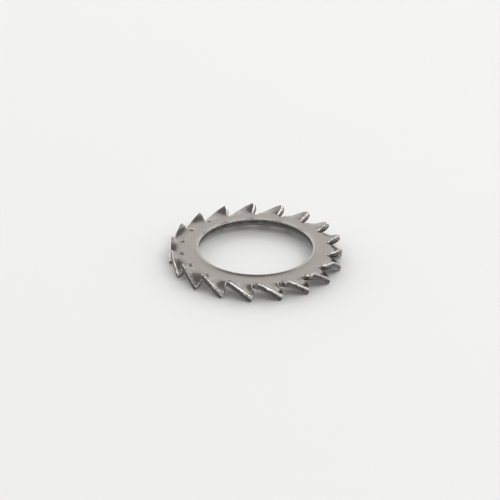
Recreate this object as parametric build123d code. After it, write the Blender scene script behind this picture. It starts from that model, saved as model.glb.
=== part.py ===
from build123d import *
from math import cos, pi, radians, sqrt, tan
import os

# External toothed lock washer for a 16 mm bolt, pressed from one piece of sheet.
# It lies on its back: the axis of the bore is Z, and Z = 0 is the surface under the lowest tooth corners.
# Every tooth is twisted about its own radial axis, its clockwise edge up and its other edge down.

# Driving dimensions, in millimetres and degrees, and the number of sections that shape a tooth.
bore_diameter = 17.0
web_width = 2.28
sheet_thickness = 0.9
tooth_count = 18
tooth_length = 2.22
gap_round = 0.42
flare_length = 1.17
tip_slit = 0.1
twist_angle = 39.0
twist_start = 0.05
twist_ease = 0.3
twist_axis_rise = 0.15
tip_skew = 4.0
rim_rise = 0.28
rim_width = 0.62
rim_round = 0.1
rim_blend = 0.5
punch_round = 0.4
edge_break = 0.08
tip_break = 0.045
section_count = 11

# Places that follow from them.
bore_radius = bore_diameter / 2
gap_floor_radius = bore_radius + web_width
outer_radius = gap_floor_radius + tooth_length
root_radius = gap_floor_radius + twist_start
pitch_angle = 360 / tooth_count
gap_centre = Vector(gap_floor_radius + gap_round, 0, 0).rotate(Axis.Z, pitch_angle / 2)
lowered_end = Rot(0, 0, pitch_angle / 2) * Pos(outer_radius, 0, 0)
trim_frame = lowered_end * Rot(0, 0, -tip_skew) * Pos(-outer_radius, 0, 0)
overrun = sheet_thickness / 2
tall = 4 * tooth_length + sheet_thickness
on_circle = 0.002


def half_width(radius, inset=0):
    """Half the width of the tooth in the flat blank, square to its middle line, less an inset.

    Beside the round floor of the gap it follows that circle, then it flares until only the slit is left.
    """
    hole = gap_round + inset
    if radius <= gap_centre.X:
        return gap_centre.Y - sqrt(hole**2 - (gap_centre.X - radius) ** 2)
    waist = gap_centre.Y - hole
    beside_slit = radius * tan(radians(pitch_angle / 2)) - tip_slit / 2 - inset
    share = min((radius - gap_centre.X) / flare_length, 1)
    return waist + (beside_slit - waist) * (1 - cos(pi * share)) / 2


def twist_at(radius):
    """The twist at one radius: it begins gently, then grows evenly and is all there at the outer circle."""
    reach = max(radius - root_radius, 0)
    grown = reach**2 / (2 * twist_ease) if reach < twist_ease else reach - twist_ease / 2
    return twist_angle * grown / (outer_radius - root_radius - twist_ease / 2)


def tooth_section(radius):
    """The sheet cut square across a tooth at one radius, its four sheared edges broken.

    It is turned about an axis a little above the middle of the sheet.
    """
    wide, half = half_width(radius), sheet_thickness / 2
    narrow, low = half_width(radius, edge_break), half - edge_break
    right_side = [(wide, -low), (wide, low), (narrow, half)]
    left_side = [(-narrow, half), (-wide, low), (-wide, -low)]
    corners = right_side + left_side + [(-narrow, -half), (narrow, -half)]
    twist = twist_at(radius)
    across = Vector(0, 1, 0).rotate(Axis.X, -twist)
    upward = Vector(0, 0, 1).rotate(Axis.X, -twist)
    twist_axis = Vector(radius, 0, twist_axis_rise - half)
    section_plane = Plane(origin=twist_axis - upward * twist_axis_rise, x_dir=across, z_dir=(1, 0, 0))
    return section_plane * make_face(Polyline(*corners, close=True))


def tip_edges(tooth):
    """The edges round the end face of a tooth, which all lie on the trimming circle."""
    edges = []
    for edge in tooth.edges():
        places = [edge @ share - trim_frame.position for share in (0, 0.5, 1)]
        if all(abs(Vector(place.X, place.Y).length - outer_radius) < on_circle for place in places):
            edges.append(edge)
    return edges


def twisted_tooth():
    """One tooth, lofted through its sections and trimmed at the tip.

    The twist draws the raised corner in: the trimming circle is the outer one, skewed about its lowered end.
    """
    step = (outer_radius + overrun - root_radius) / (section_count - 1)
    tooth = loft([tooth_section(root_radius + step * index) for index in range(section_count)])
    tooth = tooth & (trim_frame * Cylinder(outer_radius, tall))
    return chamfer(tip_edges(tooth), tip_break)


def web_profile():
    """Half section of the flat web: raised punched rim at the bore, rounded lower edge of the bore."""
    reach = root_radius + tooth_length
    corners = [
        (bore_radius, -sheet_thickness),
        (bore_radius, rim_rise),
        (bore_radius + rim_width, 0),
        (reach, 0),
        (reach, -sheet_thickness),
    ]
    rounds = [punch_round, rim_round, rim_blend]
    face = make_face(Polyline(*corners, close=True))
    for corner, radius in zip(corners, rounds):
        face = fillet(face.vertices().sort_by_distance(Vector(*corner))[0], radius)
    return Plane.XZ * face


def gap_hole():
    """The round end of a gap, with its two sheared edges broken."""
    flare = Cone(gap_round, gap_round + 2 * edge_break, 2 * edge_break)
    return Cylinder(gap_round, tall) + flare + Pos(0, 0, -sheet_thickness) * Rot(180, 0, 0) * flare


def web_sector():
    """One pitch of the web, ended by a flat across the root of the tooth, with the round ends of two gaps."""
    slice_of_web = Rot(0, 0, -pitch_angle / 2) * revolve(web_profile(), Axis.Z, pitch_angle)
    inside = Box(root_radius, 2 * outer_radius, tall, align=(Align.MIN, Align.CENTER, Align.CENTER))
    web = slice_of_web & inside
    for side in (-1, 1):
        web -= Pos(gap_centre.X, side * gap_centre.Y, 0) * gap_hole()
    return web


def lock_washer():
    """The whole washer, stood on its lowest tooth corners."""
    sector = web_sector() + twisted_tooth()
    turned = [Rot(0, 0, pitch_angle * index) * sector for index in range(tooth_count)]
    washer = turned[0].fuse(*turned[1:]).clean()
    return Pos(0, 0, -washer.bounding_box().min.Z) * washer


washer = lock_washer()
washer.label = "lock_washer"

os.makedirs("parts", exist_ok=True)
export_step(washer, "parts/lock_washer.step")
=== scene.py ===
import random
from math import atan2, cos, hypot, pi, radians, sin, sqrt, tan

import bmesh
import bpy
from mathutils import Matrix, Vector, noise


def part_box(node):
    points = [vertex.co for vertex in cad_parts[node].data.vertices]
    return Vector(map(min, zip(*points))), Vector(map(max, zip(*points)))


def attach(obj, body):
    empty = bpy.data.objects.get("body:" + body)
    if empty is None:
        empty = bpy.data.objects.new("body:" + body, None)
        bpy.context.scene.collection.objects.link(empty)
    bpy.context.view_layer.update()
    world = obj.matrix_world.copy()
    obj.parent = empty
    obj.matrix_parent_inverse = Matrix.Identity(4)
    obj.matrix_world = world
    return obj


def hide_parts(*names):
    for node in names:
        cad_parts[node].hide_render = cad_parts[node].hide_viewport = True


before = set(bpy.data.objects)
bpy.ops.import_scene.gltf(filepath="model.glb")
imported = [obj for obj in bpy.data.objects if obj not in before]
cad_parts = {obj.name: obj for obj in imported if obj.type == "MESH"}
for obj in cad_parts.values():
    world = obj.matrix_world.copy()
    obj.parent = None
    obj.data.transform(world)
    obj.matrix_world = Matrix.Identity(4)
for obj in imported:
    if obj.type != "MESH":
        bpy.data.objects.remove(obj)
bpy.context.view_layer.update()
washerLow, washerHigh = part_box("lock_washer")
print("frame loaded, washer box", washerLow, washerHigh)

mm = 0.001

# the washer, in millimetres and degrees; its main sizes are those of the part
washer = {
    "boreRadius": 8.5,
    "webWidth": 2.28,
    "thickness": 0.9,
    "toothCount": 18,
    "toothLength": 2.22,
    "gapRound": 0.42,
    "flareLength": 1.17,
    "tipSlit": 0.1,
    "twist": 39.0,  # reached at the outer circle
    "twistStart": 0.05,  # out from the floor of the gaps
    "twistEase": 0.3,  # length over which the twist begins
    "axisRise": 0.15,  # of the twist's axis over the middle of the sheet
    "tipSkew": 4.0,
    "rimRise": 0.28,
    "rimWidth": 0.62,
    "rimRound": 0.1,
    "rimBlend": 0.14,  # how softly the rim's slope runs out into the web
    "punchRound": 0.4,  # under the bore
    "topRound": 0.22,  # of the sheared edges, rolled over above
    "rollPower": 1.5,  # shape of every round: 1 is a flat bevel, 2 is a circle
    "lowRound": 0.07,  # of the sheared edges, worn below
    "cornerRound": 0.08,  # of the tips, seen from above
    "knockDepth": 0.2,  # limit for the knocks from tumbling along the rolled edges
    "knockScale": 1.7,
    "twistSpread": 1.3,  # how far one tooth's twist strays from the next one's
    "lengthSpread": 0.03,
    "seed": 4,
    # the mesh of one tooth: columns across it, in each rounded edge and between them, and rows outwards
    "sideColumns": 5,
    "middleColumns": 16,
    "rimRows": 8,
    "webRows": 6,
    "gapRows": 8,
    "toothRows": 12,
    "tipSteps": 3,  # in which the tip's arc is found for a column
    "wallCuts": [-0.12, -0.3, -0.5, -0.7],  # heights at which the sheared walls get a row of vertices
    "mergeDistance": 0.0005,
    # what the surface is like from place to place, for the knocks and the material
    "markedZone": 0.5,  # how far in from a sheared edge the metal is dented
    "skin": 0.01,  # what is nearer than this to the top or the underside is no wall
    "sideWallReach": 0.1,  # of the side walls, cut above and torn below; tips and bore take the dark torn colour all over, as painted shade
    "wearAndHighlightLength": (0.3, 0.8),  # outwards from a gap's floor to full wear and full painted highlight, raised side and lowered side
    "leastWearAndHighlight": 0.25,  # of wear and painted highlight, at the floor of a gap
    "burnishAndHighlightSpread": 2.2,  # above 1, the burnish and its painted highlight are full before the very edge
    "rimBurnishAndHighlight": 0.35,  # burnish and painted highlight at the bore, fading over as many millimetres
}

halfPitch = pi / washer["toothCount"]
gapFloor = washer["boreRadius"] + washer["webWidth"]
outerRadius = gapFloor + washer["toothLength"]
gapCentre = Matrix.Rotation(halfPitch, 3, "Z") @ Vector((gapFloor + washer["gapRound"], 0, 0))
tipHalfWidth = outerRadius * tan(halfPitch) - washer["tipSlit"] / 2


def twistAt(reach):
    # the twist in radians: it begins gently and then grows evenly with the distance from the bore
    ease = washer["twistEase"]
    out = max(reach - gapFloor - washer["twistStart"], 0)
    full = washer["toothLength"] - washer["twistStart"] - ease / 2
    grown = out * out / (2 * ease) if out < ease else out - ease / 2
    return radians(washer["twist"]) * grown / full


def toothHalfWidth(reach):
    # the tooth flares from its waist until only the slit between two teeth is left
    waist = gapCentre.y - washer["gapRound"]
    besideSlit = reach * tan(halfPitch) - washer["tipSlit"] / 2
    share = min(max((reach - gapCentre.x) / washer["flareLength"], 0), 1)
    return waist + (besideSlit - waist) * (1 - cos(pi * share)) / 2


def tipReach(sideways):
    # the end of the tooth is an arc, skewed about its lowered corner
    skew = radians(washer["tipSkew"])
    centreX = outerRadius * (cos(halfPitch) - cos(halfPitch - skew))
    centreY = outerRadius * (sin(halfPitch) - sin(halfPitch - skew))
    drawnIn = sideways * cos(radians(washer["twist"]))
    return centreX + sqrt(outerRadius**2 - (drawnIn - centreY) ** 2)


def fromEdge(step):
    # distance from a rounded edge, in the rows or columns that follow it: 0 on the edge
    return washer["topRound"] * (1 - cos(pi / 2 * step / washer["sideColumns"]))


def columnPlace(column, halfWidth):
    # signed distance from the tooth's middle line
    middle = washer["middleColumns"] / 2
    if abs(column) <= middle:
        return (halfWidth - washer["topRound"]) * column / middle
    step = middle + washer["sideColumns"] - abs(column)
    return (halfWidth - fromEdge(step)) * (1 if column > 0 else -1)


def webPlace(row, column):
    # a vertex of the ring between the bore and the floor of the gaps, whose rows are arcs
    bore = washer["boreRadius"]
    punched = bore + washer["punchRound"]
    beyondRim = row - washer["rimRows"]
    beyondWeb = beyondRim - washer["webRows"]
    if beyondRim <= 0:
        radius = bore + washer["punchRound"] * (1 - cos(pi / 2 * row / washer["rimRows"]))
    elif beyondWeb <= 0:
        radius = punched + (gapFloor - washer["topRound"] - punched) * beyondRim / washer["webRows"]
    else:
        radius = gapFloor - fromEdge(washer["sideColumns"] - beyondWeb)
    angle = columnPlace(column, radius * halfPitch) / radius
    return radius * cos(angle), radius * sin(angle)


def besideGapPlace(row, column):
    # a vertex between the round floors of two gaps: its row bends from an arc to a straight line
    share = row / washer["gapRows"]
    turn = pi + halfPitch + (pi / 2 - halfPitch) * share
    sideX = gapCentre.x + washer["gapRound"] * cos(turn)
    sideY = gapCentre.y + washer["gapRound"] * sin(turn)
    middleX = gapFloor + (gapCentre.x - gapFloor) * share
    across = columnPlace(column, sideY)
    return middleX + (sideX - middleX) * (across / sideY) ** 2, across


def toothPlace(row, column):
    # a vertex beyond the waist: the tip's arc is found for this column, and the rows are spaced up to it
    tip = tipReach(columnPlace(column, tipHalfWidth))
    for _ in range(washer["tipSteps"]):
        tip = tipReach(columnPlace(column, toothHalfWidth(tip)))
    beyondRows = row - washer["toothRows"]
    if beyondRows <= 0:
        last = tip - washer["topRound"]
        reach = gapCentre.x + (last - gapCentre.x) * row / washer["toothRows"]
    else:
        reach = tip - fromEdge(washer["sideColumns"] - beyondRows)
    return reach, columnPlace(column, toothHalfWidth(reach))


def flatPlace(row, column):
    # where a vertex of the grid goes in the flat blank: rows run outwards, columns across
    beyondWeb = row - washer["rimRows"] - washer["webRows"] - washer["sideColumns"]
    beyondGap = beyondWeb - washer["gapRows"]
    if beyondWeb <= 0:
        return webPlace(row, column)
    if beyondGap <= 0:
        return besideGapPlace(beyondWeb, column)
    return toothPlace(beyondGap, column)


def flatBlank(mesh):
    # one pitch of the blank, from a grid one unit wide, then all of them round the bore
    columns = washer["middleColumns"] + 2 * washer["sideColumns"]
    rows = (washer["rimRows"] + washer["webRows"] + washer["gapRows"] + washer["toothRows"]
            + 2 * washer["sideColumns"])
    bmesh.ops.create_grid(mesh, x_segments=columns, y_segments=rows, size=1 / 2)
    for vert in mesh.verts:
        row = round((vert.co.y + 1 / 2) * rows)
        column = round(vert.co.x * columns)
        x, y = flatPlace(row, column)
        vert.co = Vector((x, y, 0))
    count = washer["toothCount"]
    bmesh.ops.spin(
        mesh, geom=mesh.verts[:] + mesh.edges[:] + mesh.faces[:], cent=(0, 0, 0), axis=(0, 0, 1),
        angle=2 * pi * (count - 1) / count, steps=count - 1, use_duplicate=True)
    bmesh.ops.remove_doubles(mesh, verts=mesh.verts[:], dist=washer["mergeDistance"])
    bmesh.ops.recalc_face_normals(mesh, faces=mesh.faces[:])
    if mesh.faces[0].normal.z < 0:
        bmesh.ops.reverse_faces(mesh, faces=mesh.faces[:])


def thickBlank(mesh):
    # the sheet gets its thickness downwards, and its walls get rows
    bmesh.ops.solidify(mesh, geom=mesh.faces[:], thickness=washer["thickness"])
    highest = max(vert.co.z for vert in mesh.verts)
    bmesh.ops.translate(mesh, verts=mesh.verts[:], vec=(0, 0, -highest))
    for height in washer["wallCuts"]:
        bmesh.ops.bisect_plane(
            mesh, geom=mesh.verts[:] + mesh.edges[:] + mesh.faces[:], dist=washer["mergeDistance"],
            plane_co=(0, 0, height), plane_no=(0, 0, 1))


def toothFrame(place):
    # the tooth that a point belongs to, and the turn that takes X to the middle of that tooth
    index = round(atan2(place.y, place.x) / (2 * halfPitch)) % washer["toothCount"]
    return index, Matrix.Rotation(index * 2 * halfPitch, 3, "Z")


def edgeDistances(x, y):
    # how far a point of the flat blank is from the side of its tooth or gap, and from the tip
    across = abs(y)
    if x <= gapCentre.x:
        side = hypot(x - gapCentre.x, across - gapCentre.y) - washer["gapRound"]
    else:
        side = toothHalfWidth(x) - across
    return max(side, 0), max(tipReach(y) - x, 0)


def wearAndHighlight(place):
    # tumbling wears the teeth more than the floors of the gaps; the painted highlight on the rolled edges
    # follows the same share
    length = washer["wearAndHighlightLength"][0 if place.y < 0 else 1]
    return min(max((place.x - gapFloor) / length, washer["leastWearAndHighlight"]), 1)


def markSurfaces(mesh):
    # what the material has to know, kept on the vertices while the blank is still flat
    thickness = washer["thickness"]
    skin = washer["skin"]
    onWall = mesh.verts.layers.float.new("sheared")
    nearEdge = mesh.verts.layers.float.new("marked")
    onRoll = mesh.verts.layers.float.new("rolled")
    depth = mesh.verts.layers.float.new("depth")
    for vert in mesh.verts:
        _, turn = toothFrame(vert.co)
        place = turn.inverted() @ vert.co
        side, tip = edgeDistances(place.x, place.y)
        fromOutline = min(side, tip)
        fromBore = max(hypot(place.x, place.y) - washer["boreRadius"], 0)
        vert[onWall] = 1 if skin - thickness < place.z < -skin else 0
        vert[nearEdge] = max(1 - fromOutline / washer["markedZone"], 0)
        # tips and bore count as torn from top to bottom, which paints their walls in shade
        vert[depth] = -place.z / thickness if side < min(tip, washer["sideWallReach"]) else 1
        # the rolled edges and the rim get the pale burnish colour: real wear, and partly a painted
        # highlight
        rolled = min(washer["burnishAndHighlightSpread"] * (1 - fromOutline / washer["topRound"]), 1)
        onRim = washer["rimBurnishAndHighlight"] - fromBore
        vert[onRoll] = max(rolled * wearAndHighlight(place), onRim, 0) if place.z > -skin else 0


def roundDrop(size, *distances):
    # how far a rolled edge of that size falls below its flat, at those distances from its edges
    power = washer["rollPower"]
    inward = min(hypot(*[max(size - distance, 0) for distance in distances]), size)
    return size - (size**power - inward**power) ** (1 / power)


def rimProfile(out):
    # height that the punch leaves above the web, at that distance out from the bore
    rise = washer["rimRise"]
    slope = rise / washer["rimWidth"]
    blend = (slope * washer["rimBlend"]) ** 2
    line = rise - slope * out
    height = (line + sqrt(line * line + 4 * blend)) / 2 - blend / rise
    return max(height, 0) - roundDrop(washer["rimRound"], max(out, 0))


def roundCorner(place, side, tip):
    # the corners at the tip are round in plan too
    corner = washer["cornerRound"]
    inSide, inTip = corner - side, corner - tip
    if inSide > 0 and inTip > 0 and hypot(inSide, inTip) > corner:
        back = 1 - corner / hypot(inSide, inTip)
        place.x -= inTip * back
        place.y -= inSide * back * (1 if place.y > 0 else -1)


def shapeEdges(mesh):
    # the rim rises and rounds off at the bore, the outline is rolled over above and worn below
    thickness = washer["thickness"]
    for vert in mesh.verts:
        _, turn = toothFrame(vert.co)
        place = turn.inverted() @ vert.co
        out = hypot(place.x, place.y) - washer["boreRadius"]
        side, tip = edgeDistances(place.x, place.y)
        onRoll = max(1 - min(side, tip) / washer["topRound"], 0)
        knock = max(noise.noise(vert.co * washer["knockScale"]), 0) * onRoll * wearAndHighlight(place)
        top = -roundDrop(washer["topRound"], side, tip) - washer["knockDepth"] * knock
        low = roundDrop(washer["lowRound"], side, tip)
        if out < washer["webWidth"]:
            top += rimProfile(out)
            low += roundDrop(washer["punchRound"], max(out, 0))
        topShare = (place.z + thickness) / thickness
        place.z += topShare * top + (1 - topShare) * low
        roundCorner(place, side, tip)
        vert.co = turn @ place


def twistTeeth(mesh):
    # each tooth turns about its own middle line, its anticlockwise side down
    chance = random.Random(washer["seed"])
    spread = [
        (chance.uniform(-1, 1) * washer["twistSpread"], chance.uniform(-1, 1) * washer["lengthSpread"])
        for _ in range(washer["toothCount"])]
    axis = washer["axisRise"] - washer["thickness"] / 2
    for vert in mesh.verts:
        index, turn = toothFrame(vert.co)
        place = turn.inverted() @ vert.co
        extraTwist, extraLength = spread[index]
        angle = twistAt(place.x) * (1 + extraTwist / washer["twist"])
        if angle <= 0:
            continue
        lift = place.z - axis
        across = place.y
        place.y = across * cos(angle) + lift * sin(angle)
        place.z = lift * cos(angle) - across * sin(angle) + axis
        # no tooth is longer than the part's, most are a little shorter
        place.x += (extraLength - washer["lengthSpread"]) * angle / radians(washer["twist"])
        vert.co = turn @ place


def buildWasher():
    mesh = bmesh.new()
    flatBlank(mesh)
    thickBlank(mesh)
    markSurfaces(mesh)
    shapeEdges(mesh)
    twistTeeth(mesh)
    lowest = min(vert.co.z for vert in mesh.verts)
    print("web top stands at", round(-lowest, 3), "mm")
    bmesh.ops.translate(mesh, verts=mesh.verts[:], vec=(0, 0, -lowest))
    bmesh.ops.scale(mesh, verts=mesh.verts[:], vec=(mm, mm, mm))
    for face in mesh.faces:
        face.smooth = True
    data = bpy.data.meshes.new("pressedWasher")
    mesh.to_mesh(data)
    mesh.free()
    piece = bpy.data.objects.new("pressedWasher", data)
    bpy.context.collection.objects.link(piece)
    print("washer faces", len(data.polygons))
    return piece


# the metal: lengths in millimetres, colours linear; a noise has its scale, per millimetre, and its detail
steelLook = {
    "colour": (0.237, 0.218, 0.2, 1),
    "darkColour": (0.172, 0.158, 0.145, 1),
    "mottle": (0.9, 6),
    "mottleRange": (0.3, 0.7),  # of that noise, over which the roughness changes
    "roughness": (0.2, 0.32),
    # rolled edges and the rim, burnished in patches; their pale colour is partly painted highlight
    "burnishAndHighlightColour": (0.68, 0.66, 0.64, 1),
    "burnishedRoughness": 0.22,
    "patches": (4.5, 3),
    "patchRange": (0.34, 0.52),  # of that noise, between bare and burnished with painted highlight
    # the upper part of a sheared wall is cut smooth
    "cutColour": (0.42, 0.395, 0.37, 1),
    "cutRoughness": 0.26,
    # the lower part is torn, with upright paler streaks; its very dark colour is partly painted shade,
    # and fills the tips and the bore whole
    "tornAndPaintedShadeColour": (0.065, 0.061, 0.057, 1),
    "tornRoughness": 0.5,
    "tornMetal": 0.8,
    "tornDepth": (0.5, 0.75),  # shares of the wall's height between which the cut gives way
    "raggedness": (3.0, 3),
    "raggedDepth": 0.9,  # of that line, as a share of the height
    "tears": (1.0, 3),
    "tearScale": (6.0, 6.0, 0.9),  # across a wall and along its height
    "streakColour": (0.19, 0.178, 0.167, 1),
    "streakRange": (0.4, 0.75),  # of the tears' noise, from dark to pale
    # relief: grain, slow unevenness of the rolled sheet, dents near the sheared edges, and the tears
    "grain": (14.0, 3),
    "grainDepth": 0.0012,
    "waves": (1.3, 1),
    "waveDepth": 0.012,
    "dents": (4.5, 4),
    "dentDepth": 0.08,
    "tearDepth": 0.03,
}


def steelMaterial():
    material = bpy.data.materials.new("tumbledSteel")
    material.use_nodes = True
    nodes = material.node_tree.nodes
    links = material.node_tree.links
    shader = nodes["Principled BSDF"]
    place = nodes.new("ShaderNodeTexCoord")

    def addMapping(scale):
        mapping = nodes.new("ShaderNodeMapping")
        mapping.inputs["Scale"].default_value = [value / mm for value in scale]
        links.new(place.outputs["Object"], mapping.inputs["Vector"])
        return mapping

    inMillimetres = addMapping((1, 1, 1))
    upright = addMapping(steelLook["tearScale"])

    def addNoise(name, source=inMillimetres):
        texture = nodes.new("ShaderNodeTexNoise")
        scale, detail = steelLook[name]
        texture.inputs["Scale"].default_value = scale
        texture.inputs["Detail"].default_value = detail
        links.new(source.outputs["Vector"], texture.inputs["Vector"])
        return texture.outputs["Fac"]

    def addRange(value, low, high, lowest=0.0, highest=1.0):
        stretch = nodes.new("ShaderNodeMapRange")
        stretch.inputs["From Min"].default_value = low
        stretch.inputs["From Max"].default_value = high
        stretch.inputs["To Min"].default_value = lowest
        stretch.inputs["To Max"].default_value = highest
        links.new(value, stretch.inputs["Value"])
        return stretch.outputs["Result"]

    def addMath(operation, first, second):
        step = nodes.new("ShaderNodeMath")
        step.operation = operation
        for socket, value in zip(step.inputs, (first, second)):
            if isinstance(value, float):
                socket.default_value = value
            else:
                links.new(value, socket)
        return step.outputs["Value"]

    def addMix(kind, factor, first, second):
        mix = nodes.new("ShaderNodeMix")
        mix.data_type = kind
        links.new(factor, mix.inputs["Factor"])
        sockets = [socket for socket in mix.inputs if socket.enabled and socket.name in ("A", "B")]
        for socket, value in zip(sockets, (first, second)):
            if isinstance(value, (float, tuple)):
                socket.default_value = value
            else:
                links.new(value, socket)
        return [socket for socket in mix.outputs if socket.enabled][0]

    def addAttribute(name):
        attribute = nodes.new("ShaderNodeAttribute")
        attribute.attribute_name = name
        return attribute.outputs["Fac"]

    sheared = addAttribute("sheared")
    marked = addAttribute("marked")
    mottle = addNoise("mottle")
    streaks = addNoise("tears", upright)
    patches = addRange(addNoise("patches"), *steelLook["patchRange"])
    # burnish on the rolled edges and the rim: real wear, with a pale colour that paints a highlight
    burnishAndHighlight = addMath("MULTIPLY", addAttribute("rolled"), patches)
    ragged = addMath("SUBTRACT", addNoise("raggedness"), 0.5)  # a noise lies about 0.5
    ragged = addMath("MULTIPLY", ragged, steelLook["raggedDepth"])
    # the torn lower walls and the whole tips and bore, painted dark: partly fracture, partly painted
    # shade
    tornAndPaintedShade = addRange(addMath("ADD", addAttribute("depth"), ragged), *steelLook["tornDepth"])
    tornAndPaintedShade = addMath("MULTIPLY", sheared, tornAndPaintedShade)

    tint = addMix("RGBA", mottle, steelLook["darkColour"], steelLook["colour"])
    tint = addMix("RGBA", burnishAndHighlight, tint, steelLook["burnishAndHighlightColour"])
    tint = addMix("RGBA", sheared, tint, steelLook["cutColour"])
    paler = addRange(streaks, *steelLook["streakRange"])
    tornAndPaintedShadeTint = addMix("RGBA", paler, steelLook["tornAndPaintedShadeColour"], steelLook["streakColour"])
    tint = addMix("RGBA", tornAndPaintedShade, tint, tornAndPaintedShadeTint)
    links.new(tint, shader.inputs["Base Color"])

    roughness = addRange(mottle, *steelLook["mottleRange"], *steelLook["roughness"])
    roughness = addMix("FLOAT", burnishAndHighlight, roughness, steelLook["burnishedRoughness"])
    roughness = addMix("FLOAT", sheared, roughness, steelLook["cutRoughness"])
    roughness = addMix("FLOAT", tornAndPaintedShade, roughness, steelLook["tornRoughness"])
    links.new(roughness, shader.inputs["Roughness"])
    links.new(addMix("FLOAT", tornAndPaintedShade, 1.0, steelLook["tornMetal"]), shader.inputs["Metallic"])

    grain = addMath("MULTIPLY", addNoise("grain"), steelLook["grainDepth"])
    waves = addMath("MULTIPLY", addNoise("waves"), steelLook["waveDepth"])
    dents = addMath("MULTIPLY", addNoise("dents"), steelLook["dentDepth"])
    dents = addMath("MULTIPLY", dents, marked)
    tears = addMath("MULTIPLY", streaks, steelLook["tearDepth"])
    tears = addMath("MULTIPLY", tears, tornAndPaintedShade)
    relief = addMath("ADD", addMath("ADD", grain, waves), addMath("ADD", dents, tears))
    bump = nodes.new("ShaderNodeBump")
    bump.inputs["Strength"].default_value = 1.0
    bump.inputs["Distance"].default_value = mm
    links.new(relief, bump.inputs["Height"])
    links.new(bump.outputs["Normal"], shader.inputs["Normal"])
    return material


lockWasher = buildWasher()
lockWasher.data.materials.append(steelMaterial())
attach(lockWasher, "root")
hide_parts("lock_washer")
print("washer built")

# the studio, in metres; each panel has its azimuth and elevation seen from the washer,
# its width and height, and its brightness, where 1 is white
studio = {
    "floorColour": (0.69, 0.69, 0.683, 1),
    "floorRoughness": 0.7,
    "floorSize": 6.0,
    "worldColour": (1, 1, 1, 1),
    "worldLevel": 0.43,
    "panelDistance": 1.0,
    "panels": {
        "backPanel": (8, 30, 1.7, 1.1, 1.28),
        "rightPanel": (84, 35, 1.2, 1.0, 1.2),
        "leftPanel": (-62, 15, 1.0, 0.42, 1.8),
        "leftHighPanel": (-78, 44, 1.0, 0.56, 0.95),
        "frontPanel": (148, 47, 1.0, 0.32, 2.4),
        "highPanel": (140, 62, 0.9, 0.34, 1.2),
    },
}


def buildFloor():
    mesh = bmesh.new()
    bmesh.ops.create_grid(mesh, x_segments=1, y_segments=1, size=studio["floorSize"] / 2)
    data = bpy.data.meshes.new("studioFloor")
    mesh.to_mesh(data)
    mesh.free()
    floor = bpy.data.objects.new("studioFloor", data)
    bpy.context.collection.objects.link(floor)
    paper = bpy.data.materials.new("palePaper")
    paper.use_nodes = True
    shader = paper.node_tree.nodes["Principled BSDF"]
    shader.inputs["Base Color"].default_value = studio["floorColour"]
    shader.inputs["Roughness"].default_value = studio["floorRoughness"]
    data.materials.append(paper)


def addPanel(name, azimuth, elevation, width, height, level):
    # a soft box that looks at the washer, of that brightness at any size
    direction = Vector((
        sin(radians(azimuth)) * cos(radians(elevation)),
        cos(radians(azimuth)) * cos(radians(elevation)),
        sin(radians(elevation))))
    lamp = bpy.data.lights.new(name, "AREA")
    lamp.shape = "RECTANGLE"
    lamp.size = width
    lamp.size_y = height
    lamp.energy = level * pi * width * height
    panel = bpy.data.objects.new(name, lamp)
    bpy.context.collection.objects.link(panel)
    panel.location = direction * studio["panelDistance"]
    panel.rotation_euler = direction.to_track_quat("Z", "Y").to_euler()


def lightStudio():
    world = bpy.data.worlds.new("studioAir")
    bpy.context.scene.world = world
    world.use_nodes = True
    air = world.node_tree.nodes["Background"]
    air.inputs["Color"].default_value = studio["worldColour"]
    air.inputs["Strength"].default_value = studio["worldLevel"]
    for name, look in studio["panels"].items():
        addPanel(name, *look)


# the photograph's view: degrees, metres, and pixels of its 500 x 500 frame
viewpoint = {
    "elevation": 28.6,
    "distance": 0.45,
    "pixelsPerMillimetre": 6.734,
    "framePixels": 500,
    "sensor": 36.0,
    "target": (0, 0, 0.00204),
    "targetPixel": (255.77, 247.9),
    "roll": 0.64,
    "clipStart": 0.01,
}


def placeCamera():
    camera = bpy.data.objects.new("photoCamera", bpy.data.cameras.new("photoCamera"))
    bpy.context.collection.objects.link(camera)
    frameWidth = viewpoint["framePixels"]
    focalPixels = viewpoint["pixelsPerMillimetre"] * viewpoint["distance"] / mm
    camera.data.sensor_width = viewpoint["sensor"]
    camera.data.lens = focalPixels * viewpoint["sensor"] / frameWidth
    camera.data.shift_x = (frameWidth / 2 - viewpoint["targetPixel"][0]) / frameWidth
    camera.data.shift_y = (viewpoint["targetPixel"][1] - frameWidth / 2) / frameWidth
    camera.data.clip_start = viewpoint["clipStart"]
    tilt = radians(viewpoint["elevation"])
    away = Vector((0, -cos(tilt), sin(tilt)))
    camera.location = Vector(viewpoint["target"]) + away * viewpoint["distance"]
    aim = away.to_track_quat("Z", "Y").to_matrix().to_4x4()
    camera.rotation_euler = (aim @ Matrix.Rotation(radians(viewpoint["roll"]), 4, "Z")).to_euler()
    bpy.context.scene.camera = camera


buildFloor()
lightStudio()
placeCamera()
bpy.context.scene.view_settings.view_transform = "Standard"
print("studio and camera placed")
